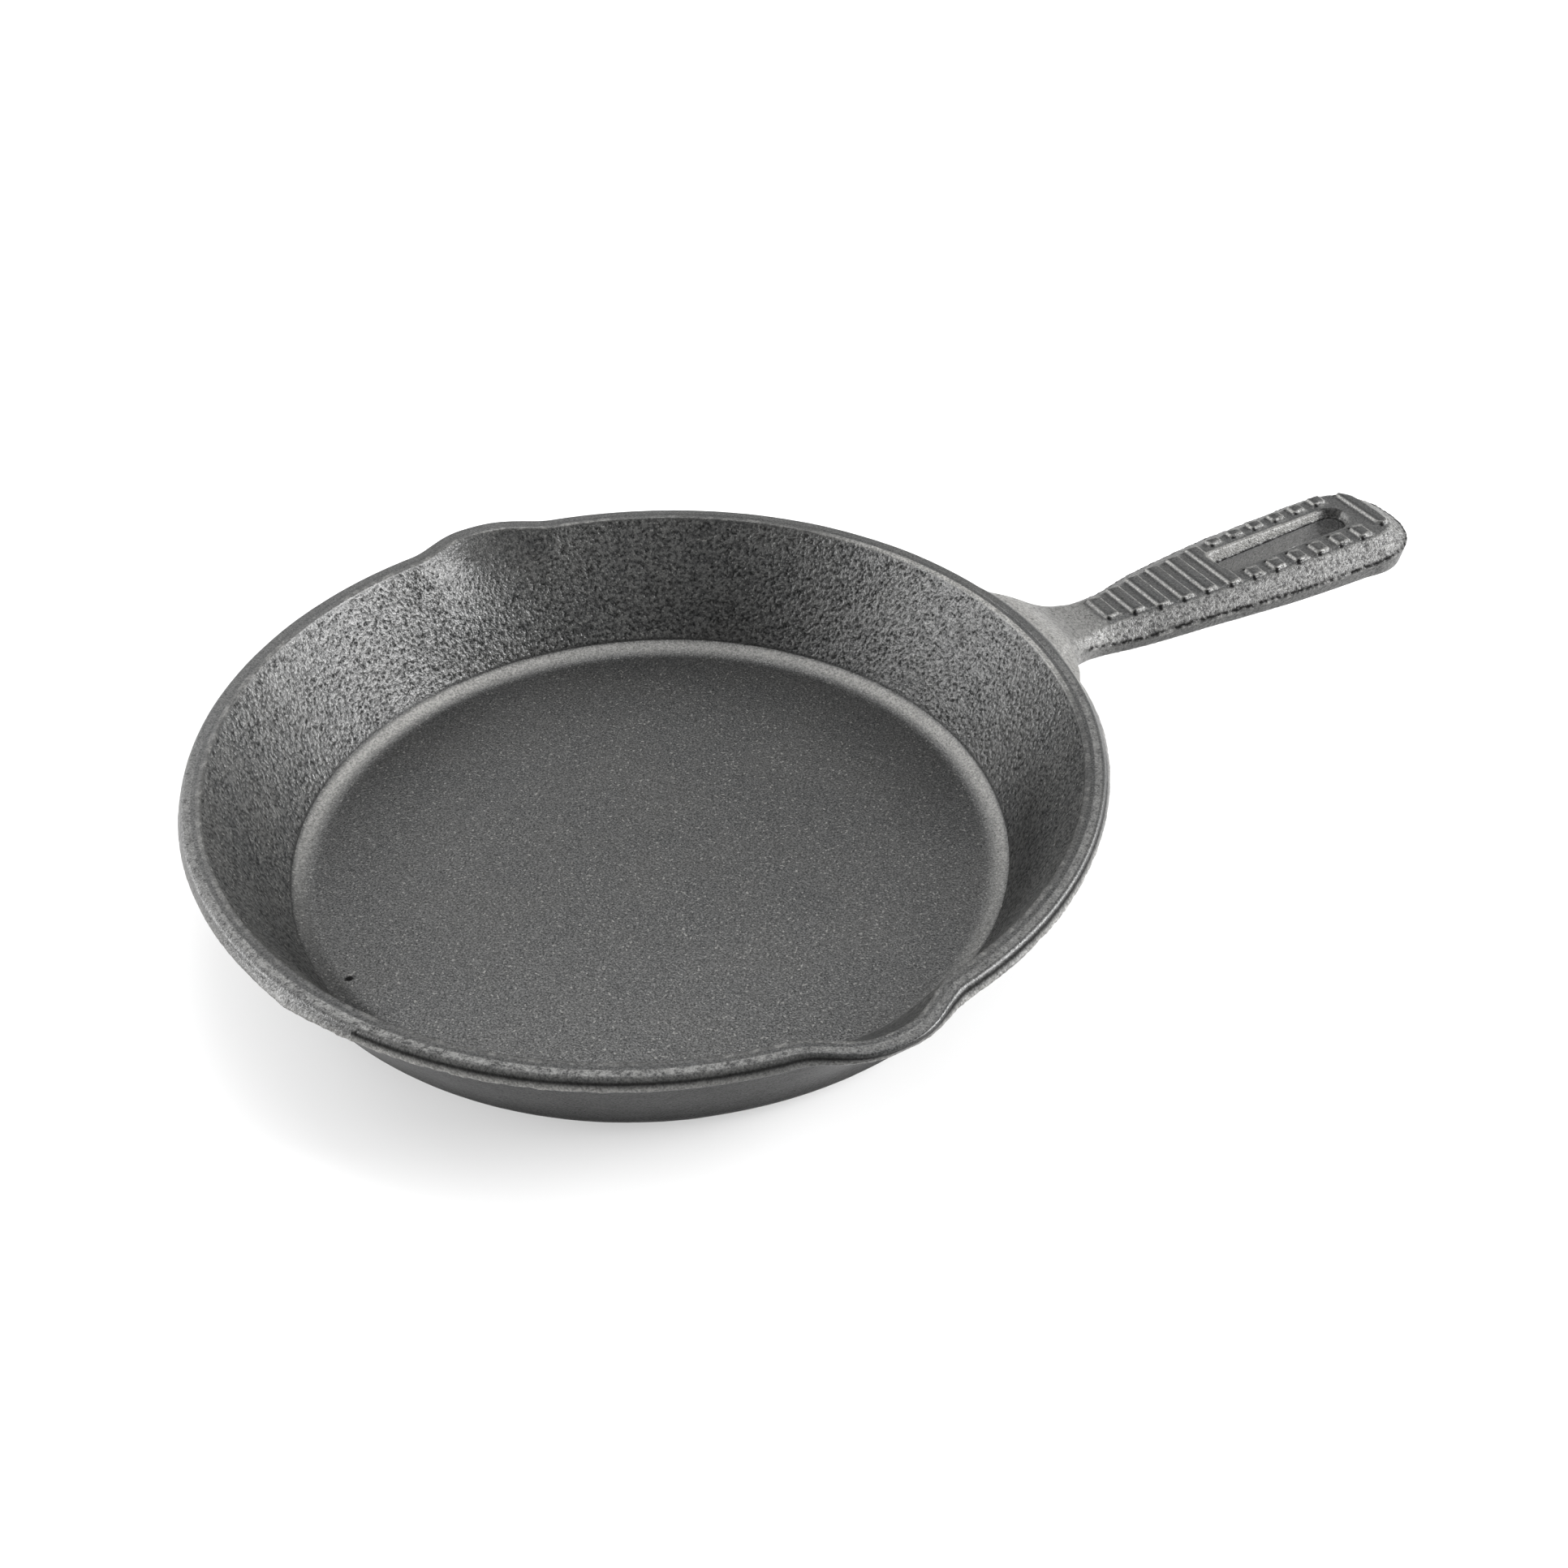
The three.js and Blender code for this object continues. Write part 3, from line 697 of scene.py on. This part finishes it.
def character(p):
    """For points of the finished surface: pebbled, sandy, wear and painted highlight, the floor's mask, the height of
    the grain, and soot and painted shade, all 0 to 1.
    """
    x, y, z = p[:, 0], p[:, 1], p[:, 2]
    r, th = np.hypot(x, y), np.arctan2(y, x)
    out, dip = spout(np.full(len(p), 90.0), th, np.clip(z, 0, HEIGHT))
    r0 = np.where(r > FOOT_R, r - out, r)
    bowl_side = (r0 < inner_r(z) + 2.0) & (x < CUT_X)
    wall_in = bowl_side & (z > FOOT_Z - 0.02) & (r > 78)
    pebble = wall_in * smoothstep((z - FOOT_Z + 0.1) / 0.9) * smoothstep((HEIGHT - 0.15 - z) / 0.6)
    pebble = pebble * (1 - 0.55 * np.clip(out / SPOUT_OUT * 1.6, 0, 1))
    ground = (r < FOOT_R + 0.3) & (z < FOOT_Z + 0.05) & (z > 1.0)
    grip = (x > 99) & (np.abs(y) < 40) & ~wall_in & ~ground
    zh = z - HEIGHT
    top, bottom, inside, (ribs, side, end, _, last) = handle_heights(x, y)
    onto = np.where(grip, smoothstep((x - 107) / 7), 0)
    zp = parting(x)
    s = slot_distance(x, y, zh)
    in_slot = (np.abs(s) < 0.7) & (x > 150)
    sand = onto * smoothstep((shoulder(x) + 0.2 - inside) / 0.8) * smoothstep((zh - zp + 0.4) / 0.4)
    sand = np.maximum(sand, in_slot * onto * smoothstep((zh - waist(x)) / 0.4) * smoothstep((groove(x) + 0.1 - zh) / 0.4))
    low = (~wall_in) & (~ground) & (z > 0.05)
    sand = np.maximum(sand, 0.55 * onto * smoothstep((zp - zh) / 0.5) * low)
    # ground parting edge round the rim, and a painted highlight along the rim's inner edge, strongest near the handle
    lip = np.where(bowl_side | ground, 0, band(z, HEIGHT - LIP_DROP - dip, 1.0)) * (r0 > 98.5) * (1 - onto) * np.where(np.abs(y) < 30, np.where(x > 95, 0, 1), 1)
    wear_and_painted_highlight = lip * flash(p)
    edge_in = band(z, HEIGHT - dip - 0.10, 0.22) * (np.abs(r0 - RIM_INNER_R) < 0.9)
    facing = smoothstep((32 - np.abs(np.degrees(th) - 8)) / 14)
    wear_and_painted_highlight = np.maximum(wear_and_painted_highlight, edge_in * (0.12 + 0.3 * smoothstep((noise(p, 2.2, 65) - 0.05) / 0.3) + 0.75 * facing))
    # the rim and its flash are grainy, most at the front left; the rim's top face is also paler toward the front as
    # painted light
    rim_grain_and_painted_light = (z > HEIGHT - 5.5) * (r0 > RIM_INNER_R - 0.2) * ~wall_in * (1 - smoothstep((x - 97) / 4))
    rim_grain_and_painted_light = rim_grain_and_painted_light * ((0.20 + 0.46 * smoothstep((10 - y) / 50)) * (z > HEIGHT - 0.35 - dip) * (r0 < 99.4) + 0.50 * smoothstep((62 - np.abs((np.degrees(th) + 335) % 360 - 180)) / 22))
    sand = np.maximum(sand, rim_grain_and_painted_light)
    dots = noise(p, 1.25, 61)
    seam = onto * (inside < 1.6) * ~in_slot
    wear_and_painted_highlight = np.maximum(wear_and_painted_highlight, seam * 0.8 * band(zh, zp - 0.3, 0.35) * smoothstep((dots - 0.05) / 0.25))
    high = onto * (zh > groove(x) - 0.1)
    # a pale worn edge and painted highlight along each rib's pan-facing edge, broken up, and a weaker one along its
    # other edge
    broken = smoothstep((noise(p, 1.7, 62) + 0.25) / 0.4)
    edge = np.where(side < 0, band(ribs, 0.0, 0.22) * (0.75 + 0.25 * broken),
                    np.where(last, 0.9 * band(ribs, 0.0, 0.20), band(ribs, -0.28, 0.17) * (0.35 + 0.45 * broken)))
    wear_and_painted_highlight = np.maximum(wear_and_painted_highlight, high * edge * (end < 0.0))
    # painted highlight on the blend at the foot of the wall: pale grain and a bright band, strongest where it faces
    # the handle and the left spout
    deg = np.degrees(th)
    ring = smoothstep((r0 - 74.9) / 4.3) * smoothstep((81.6 - r0) / 1.6) * (z < FOOT_Z + 0.3) * (z > 3.0)
    level = np.interp(deg, [-180, -160, -90, -70, -50, -30, -8, 10, 30, 55, 75, 95, 110, 130, 150, 165, 180],
                      [0.05, 0.0, 0.0, 0.25, 0.30, 0.50, 0.95, 1.1, 0.85, 0.55, 0.55, 0.85, 1.1, 0.80, 0.45, 0.12, 0.05])
    sand = np.maximum(sand, 0.6 * ring * np.minimum(level * 1.5, 1))
    wear_and_painted_highlight = np.maximum(wear_and_painted_highlight, 1.25 * ring ** 2.5 * level * (0.75 + 0.25 * smoothstep((noise(p, 1.0, 66) + 0.25) / 0.5)))
    # painted light on the slot's far wall: pale above its parting line, less so below it
    wear_and_painted_highlight = np.maximum(wear_and_painted_highlight, in_slot * onto * (y > 0.5) * 0.55 * smoothstep((zh - waist(x) - 0.3) / 0.5) * smoothstep((196 - x) / 3))
    wear_and_painted_highlight = np.maximum(wear_and_painted_highlight, in_slot * onto * (y > 0.5) * 0.30 * smoothstep((waist(x) - 0.4 - zh) / 0.5) * smoothstep((194 - x) / 3))
    # smooth pale skin on the neck
    neck = smoothstep((r0 - 100.1) / 0.9) * smoothstep((125 - x) / 7) * smoothstep((38 - np.abs(y)) / 10) * (x > 90) * (z > 15) * ~wall_in
    sand = np.maximum(sand, 0.8 * neck)
    wear_and_painted_highlight = np.maximum(wear_and_painted_highlight, (0.22 + 0.35 * smoothstep((108.5 - r) / 4)) * neck)
    # painted light on the ends of the ribs: rough pale grain, strongest on the near side
    blob = high * band(end, 0.2, 0.75) * band(np.maximum(np.abs(side - 0.22) - 0.28, 0), 0.0, 0.14) * (np.abs(y) > 3.5) * np.where(y < 0, 1.0, 0.8)
    sand = np.maximum(sand, blob)
    wear_and_painted_highlight = np.maximum(wear_and_painted_highlight, 0.5 * blob * smoothstep((noise(p, 0.8, 63) + 0.1) / 0.5))
    # painted shade in the corners: the left corner of each rib's end, the tip end of the slot and the foot of the
    # wall; also dark dotted lines along the parting edges
    soot_and_painted_shade = 2.0 * onto * (zh > groove(x) - 0.8) * band(side, -0.38, 0.14) * band(end, 0.38, 0.46) * np.where(y < 0, 1.0, 0.7)
    soot_and_painted_shade = np.maximum(soot_and_painted_shade, seam * 1.1 * band(zh, zp + 0.30, 0.36) * (0.45 + 0.55 * smoothstep((0.22 - dots) / 0.25)))
    soot_and_painted_shade = np.maximum(soot_and_painted_shade, in_slot * onto * 0.9 * band(zh, waist(x) + 0.1, 0.30) * smoothstep((noise(p, 1.1, 64) + 0.35) / 0.3))
    soot_and_painted_shade = np.maximum(soot_and_painted_shade, in_slot * onto * 0.75 * smoothstep((zh - waist(x)) / 0.5) * smoothstep((y - 1.2) / 0.7) * smoothstep((x - 193.5) / 3))
    soot_and_painted_shade = np.maximum(soot_and_painted_shade, wall_in * 0.55 * band(z, FOOT_Z + 0.15, 0.55) * (r0 < inner_r(z) + 0.7))
    # painted shade: the floor darker toward the back and toward the wall, and the outside of the wall dark, darkest
    # toward the bottom
    floor_shade_by_side = np.interp(deg, [-180, -160, -60, -35, -12, 130, 150, 172, 180], [0.3, 0.1, 0.1, 0.35, 1.0, 1.0, 0.7, 0.35, 0.3])
    floor_painted_shade = 0.20 * smoothstep((y + 72) / 75) + 0.27 * smoothstep((r - 42) / 33) * floor_shade_by_side
    soot_and_painted_shade = np.maximum(soot_and_painted_shade, ground * floor_painted_shade * (1 - smoothstep((r0 - 75.0) / 2.2)))
    outside = (~bowl_side) & (~ground) & (x < 112) & (z < 29.5)
    outside = outside * (1 - smoothstep((x - 86) / 8) * smoothstep((36 - np.abs(y)) / 8) * smoothstep((z - 8) / 6))
    soot_and_painted_shade = np.maximum(soot_and_painted_shade, outside * (0.74 + 0.24 * smoothstep((20 - z) / 15)) * smoothstep((29.8 - z) / 2.5))
    # painted shade along both sides of each rib's pan-facing edge
    soot_and_painted_shade = np.maximum(soot_and_painted_shade, high * (side < 0.1) * (end < 0.2) * np.maximum(0.50 * band(ribs, -0.85, 0.45), 0.40 * band(ribs, 0.75, 0.40)))
    # painted shade on the handle's far shoulder
    soot_and_painted_shade = np.maximum(soot_and_painted_shade, 0.4 * onto * (y > 4) * (zh > zp + 0.4) * smoothstep((shoulder(x) - 0.2 - inside) / 0.8) * (x < 198))
    # painted shadow: a dark line where the rim overhangs the wall
    soot_and_painted_shade = np.maximum(soot_and_painted_shade, 0.95 * band(z, HEIGHT - 1.15 - dip, 0.55) * (r0 > 98.8) * ~bowl_side * (1 - onto) * (np.abs(y) > 20) * smoothstep((np.abs(deg) - 20) / 20) * (np.abs(deg) < 150))
    # painted shade on the wall and fillet that face away from the light
    shade_of = np.interp(deg, [-180, -168, -150, -125, -95, -75, -50, -30, -14, 30, 50, 70, 150, 168, 180],
                         [0.55, 0.75, 0.80, 0.70, 0.3, 0.3, 0.68, 0.68, 0.1, 0.0, 0.3, 0.0, 0.05, 0.3, 0.55])
    soot_and_painted_shade = np.maximum(soot_and_painted_shade, wall_in * shade_of * (1 - 0.5 * smoothstep((z - 12) / 14)))
    soot_and_painted_shade = np.maximum(soot_and_painted_shade, ground * smoothstep((r0 - 75.5) / 3) * np.where(np.abs(deg) > 120, 0.8, 0.0) * shade_of)
    # a small pit in the floor
    soot_and_painted_shade = np.maximum(soot_and_painted_shade, ground * smoothstep((1.0 - np.hypot((x - PIT[0]) / 1.3, y - PIT[1])) / 0.35))
    relief = np.full(len(p), 0.5)
    on = pebble > 0.01
    relief[on] = 0.5 + 0.5 * pebbles(p[on]) * pebble[on]
    on = ~on & (sand > 0.01)
    relief[on] = 0.5 + 0.5 * grit(p[on]) * sand[on]
    return pebble, sand, wear_and_painted_highlight, ground.astype(float), relief, soot_and_painted_shade


def paint(ob):
    me = ob.data
    p = np.empty(len(me.vertices) * 3, np.float32)
    me.vertices.foreach_get("co", p)
    p = p.reshape(-1, 3).astype(float) * 1000
    for name, v in zip(("pebble", "sand", "wear_and_painted_highlight", "ground", "relief", "soot_and_painted_shade"), character(p)):
        a = me.attributes.new(name, "FLOAT", "POINT")
        a.data.foreach_set("value", np.clip(v, 0, 1).astype(np.float32))


# -------------------------------------------------------------------- material
class Tree:
    """Short calls for building a node tree."""

    def __init__(self, material):
        material.use_nodes = True
        self.t = material.node_tree
        self.t.nodes.clear()

    def node(self, kind, **settings):
        n = self.t.nodes.new(kind)
        for k, v in settings.items():
            setattr(n, k, v)
        return n

    def put(self, socket, value):
        if isinstance(value, bpy.types.NodeSocket):
            self.t.links.new(value, socket)
        else:
            socket.default_value = value

    def math(self, op, a, b=0.0, c=0.0, clamp=False):
        n = self.node("ShaderNodeMath", operation=op, use_clamp=clamp)
        for k, v in enumerate((a, b, c)):
            self.put(n.inputs[k], v)
        return n.outputs[0]

    def mul(self, a, b):
        return self.math("MULTIPLY", a, b)

    def add(self, a, b):
        return self.math("ADD", a, b)

    def mad(self, a, b, c):
        return self.math("MULTIPLY_ADD", a, b, c)

    def ramp(self, v, lo, hi, a=0.0, b=1.0):
        n = self.node("ShaderNodeMapRange", interpolation_type="SMOOTHSTEP")
        self.put(n.inputs["Value"], v)
        for k, w in (("From Min", lo), ("From Max", hi), ("To Min", a), ("To Max", b)):
            self.put(n.inputs[k], w)
        return n.outputs[0]

    def noise(self, at, size_mm, detail=2.0, rough=0.55, distort=0.0):
        n = self.node("ShaderNodeTexNoise", noise_dimensions="3D")
        self.put(n.inputs["Vector"], at)
        self.put(n.inputs["Scale"], 1000.0 / size_mm)
        self.put(n.inputs["Detail"], detail)
        self.put(n.inputs["Roughness"], rough)
        self.put(n.inputs["Distortion"], distort)
        return n.outputs["Fac"]

    def mix(self, f, a, b):
        n = self.node("ShaderNodeMix", data_type="RGBA")
        self.put(n.inputs[0], f)
        self.put(n.inputs[6], a)
        self.put(n.inputs[7], b)
        return n.outputs[2]

    def attribute(self, name):
        return self.node("ShaderNodeAttribute", attribute_type="GEOMETRY", attribute_name=name).outputs["Fac"]


def make_iron():
    mat = bpy.data.materials.new("seasoned_iron")
    t = Tree(mat)
    # turned out of line with the flat faces, so that the noise's cells don't show
    turned = t.node("ShaderNodeMapping", vector_type="POINT")
    t.put(turned.inputs["Vector"], t.node("ShaderNodeTexCoord").outputs["Object"])
    turned.inputs["Rotation"].default_value = (0.61, 0.47, 0.83)
    at = turned.outputs["Vector"]
    pebble, sand, wear_and_painted_highlight, ground, relief, soot_and_painted_shade = (t.attribute(n) for n in ("pebble", "sand", "wear_and_painted_highlight", "ground", "relief", "soot_and_painted_shade"))
    # grain heights, in millimetres
    fine = t.noise(at, 0.33, 1.0, 0.5)
    mid = t.noise(at, 0.45, 1.0, 0.5)
    grit = t.noise(at, 0.52, 1.0, 0.5)
    speck = t.noise(at, 0.40, 1.0, 0.5)
    fine_amp = t.add(t.mad(pebble, 0.02, 0.02), t.mad(sand, 0.05, t.mul(ground, 0.02)))
    mid_amp = t.add(t.mad(pebble, 0.12, 0.04), t.mad(sand, 0.09, t.mul(ground, 0.05)))
    height = t.add(t.mul(t.math("SUBTRACT", fine, 0.5), fine_amp), t.mul(t.math("SUBTRACT", mid, 0.5), mid_amp))
    height = t.add(height, t.mul(t.ramp(grit, 0.55, 0.75), t.mul(wear_and_painted_highlight, 0.05)))
    bump = t.node("ShaderNodeBump")
    t.put(bump.inputs["Height"], height)
    bump.inputs["Distance"].default_value = 0.001
    bump.inputs["Strength"].default_value = 1.0
    # colour: dark iron under a thin oil skin, uneven in patches
    patch = t.noise(at, 16.0, 3.0, 0.55)
    cloud = t.noise(at, 4.5, 2.0, 0.6)
    base = t.mix(t.ramp(patch, 0.35, 0.65), (0.0125, 0.013, 0.0132, 1), (0.0165, 0.0165, 0.016, 1))
    base = t.mix(t.mul(t.ramp(cloud, 0.4, 0.75), 0.35), base, (0.021, 0.021, 0.0203, 1))
    # painted light and shade on the grain: tops lighter, hollows darker and less glossy
    grain = t.add(t.math("SUBTRACT", mid, 0.5), t.mul(t.math("SUBTRACT", relief, 0.5), 1.2))
    painted_light_tops = t.ramp(grain, 0.0, 0.5)
    painted_shade_pits = t.ramp(grain, -0.05, -0.5)
    base = t.mix(t.mul(painted_light_tops, 0.5), base, (0.07, 0.07, 0.067, 1))
    base = t.mix(t.mul(painted_shade_pits, 0.75), base, (0.006, 0.006, 0.006, 1))
    base = t.mix(t.mul(t.ramp(speck, 0.42, 0.68), t.mad(ground, 0.4, 0.2)), base, (0.055, 0.055, 0.0535, 1))
    # painted glints: tiny bright specks in the colour of the pebbled wall and the floor
    painted_glint = t.ramp(t.noise(at, 0.62, 0.0, 0.5), 0.70, 0.78)
    base = t.mix(t.mul(painted_glint, t.mad(pebble, 0.45, t.mul(ground, 0.7))), base, (0.15, 0.148, 0.14, 1))
    # sandy flanks: pale blasted grain with dark pores
    pores = t.ramp(t.mad(t.noise(at, 0.36, 1.0, 0.5), 0.75, t.mul(relief, 0.25)), 0.38, 0.60)
    base = t.mix(t.mul(sand, 0.85), base, t.mix(pores, (0.032, 0.032, 0.032, 1), (0.088, 0.0875, 0.084, 1)))
    # wear and painted highlights: pale grey
    base = t.mix(t.mul(wear_and_painted_highlight, t.ramp(grit, 0.40, 0.60, 0.40, 0.98)), base, (0.19, 0.187, 0.178, 1))
    # soot and painted shade: near black
    base = t.mix(t.mul(soot_and_painted_shade, 0.92), base, (0.003, 0.003, 0.003, 1))
    rough = t.add(t.mad(sand, 0.12, 0.33), t.add(t.mul(wear_and_painted_highlight, -0.04), t.mul(t.math("SUBTRACT", patch, 0.5), 0.12)))
    gloss = t.math("SUBTRACT", t.mad(painted_light_tops, 0.3, 0.5), t.mul(painted_shade_pits, 0.45))
    gloss = t.add(gloss, t.mul(t.math("SUBTRACT", speck, 0.5), 1.2))
    gloss = t.mul(t.math("MAXIMUM", gloss, 0.05), t.mad(soot_and_painted_shade, -0.69, 0.7))
    b = t.node("ShaderNodeBsdfPrincipled")
    t.put(b.inputs["Base Color"], base)
    t.put(b.inputs["Roughness"], rough)
    t.put(b.inputs["Normal"], bump.outputs["Normal"])
    t.put(b.inputs["Specular IOR Level"], gloss)
    b.inputs["Metallic"].default_value = 0.0
    out = t.node("ShaderNodeOutputMaterial")
    t.t.links.new(b.outputs["BSDF"], out.inputs["Surface"])
    return mat


iron = make_iron()
for ob, node, slot in ((wall, "side_wall", "seasoned_iron_wall"), (handle, "handle", "seasoned_iron_handle"),
                       (disc, "cooking_floor", "seasoned_iron_floor")):
    paint(ob)
    ob.data.materials.clear()
    ob.data.materials.append(iron)
    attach(ob, "root")
    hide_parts(node)

# ---------------------------------------------------------------------- camera
cam_data = bpy.data.cameras.new("camera")
cam_data.lens, cam_data.sensor_width, cam_data.sensor_fit = 49.13, 36.0, "HORIZONTAL"
cam_data.clip_start = 0.01
cam = bpy.data.objects.new("camera", cam_data)
fwd = Vector((0.37909, 0.68572, -0.62136)).normalized()
right0 = Vector((0.87517, -0.48383, 0.0)).normalized()
up0 = right0.cross(fwd)
roll = math.radians(-0.7276)
right = right0 * math.cos(roll) + up0 * math.sin(roll)
up = up0 * math.cos(roll) - right0 * math.sin(roll)
cam.matrix_world = Matrix(((right.x, up.x, -fwd.x, -0.15432), (right.y, up.y, -fwd.y, -0.34162),
                           (right.z, up.z, -fwd.z, 0.31826), (0, 0, 0, 1)))
bpy.context.scene.collection.objects.link(cam)
bpy.context.scene.camera = cam

# ------------------------------------------------------------- floor and lights
me = bpy.data.meshes.new("floor")
me.from_pydata([(-3, -3, 0), (3, -3, 0), (3, 3, 0), (-3, 3, 0)], [], [(0, 1, 2, 3)])
floor = bpy.data.objects.new("floor", me)
bpy.context.scene.collection.objects.link(floor)
pale = bpy.data.materials.new("pale_floor")
pale.use_nodes = True
pale.node_tree.nodes["Principled BSDF"].inputs["Base Color"].default_value = (0.40, 0.40, 0.40, 1)
pale.node_tree.nodes["Principled BSDF"].inputs["Specular IOR Level"].default_value = 0.0
pale.node_tree.nodes["Principled BSDF"].inputs["Emission Color"].default_value = (1, 1, 1, 1)
pale.node_tree.nodes["Principled BSDF"].inputs["Emission Strength"].default_value = 0.42
pale.node_tree.nodes["Principled BSDF"].inputs["Roughness"].default_value = 1.0
floor.data.materials.append(pale)


def softbox(name, azimuth, elevation, distance, size, power):
    """A square area light that faces the pan. azimuth in degrees from +X."""
    a, e = math.radians(azimuth), math.radians(elevation)
    d = Vector((math.cos(a) * math.cos(e), math.sin(a) * math.cos(e), math.sin(e)))
    l = bpy.data.lights.new(name, "AREA")
    l.shape, l.size, l.energy = "SQUARE", size, power
    o = bpy.data.objects.new(name, l)
    o.matrix_world = Matrix.Translation(d * distance) @ d.to_track_quat("Z", "Y").to_matrix().to_4x4()
    bpy.context.scene.collection.objects.link(o)
    return o


for name, azimuth, elevation, power in (
        ("right_high", -35, 30, 26.4), ("right_low", -35, 10, 11.1), ("handle_low", -10, 10, 12.2), ("overhead", 60, 70, 6.3),
        ("back_high", 90, 50, 4.3), ("back_right", 30, 50, 2.1), ("back_left", 115, 30, 9.1), ("left_low", 140, 10, 13.8),
        ("left_far", 165, 10, 13.5)):
    softbox(name, azimuth, elevation, 1.3, 0.62, power)
world = bpy.data.worlds.new("studio")
bpy.context.scene.world = world
world.use_nodes = True
world.node_tree.nodes["Background"].inputs[0].default_value = (1, 1, 1, 1)
world.node_tree.nodes["Background"].inputs[1].default_value = 0.82
bpy.context.scene.view_settings.view_transform = "Standard"

bpy.context.view_layer.update()
